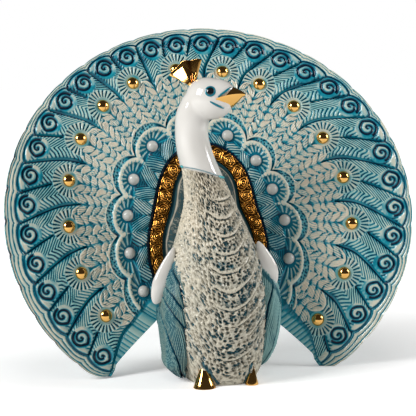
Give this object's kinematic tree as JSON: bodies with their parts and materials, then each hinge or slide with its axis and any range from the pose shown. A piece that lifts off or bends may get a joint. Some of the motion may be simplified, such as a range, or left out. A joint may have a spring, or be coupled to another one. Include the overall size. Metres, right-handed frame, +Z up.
{
  "type": "peacock figurine",
  "caption": "Glazed ceramic peacock figurine with a raised, dished tail of carved eye feathers behind a standing bird, gold lustre accents.",
  "frame": {"origin": "on the table plane, under the middle of the bird's body", "axes": "+Z up, the bird looks along -Y, +X is to the right of someone who faces the bird"},
  "size_m": [0.2199, 0.0961, 0.1815],
  "materials": {
    "glazed_ceramic": "hand-painted turquoise and beige glaze with gold lustre",
    "white_glaze": "plain glossy white glaze",
    "gold_lustre": "fired gold lustre, mirror bright"
  },
  "bodies": {
    "root": {"peacock": "glazed_ceramic"}
  },
  "joints": []
}
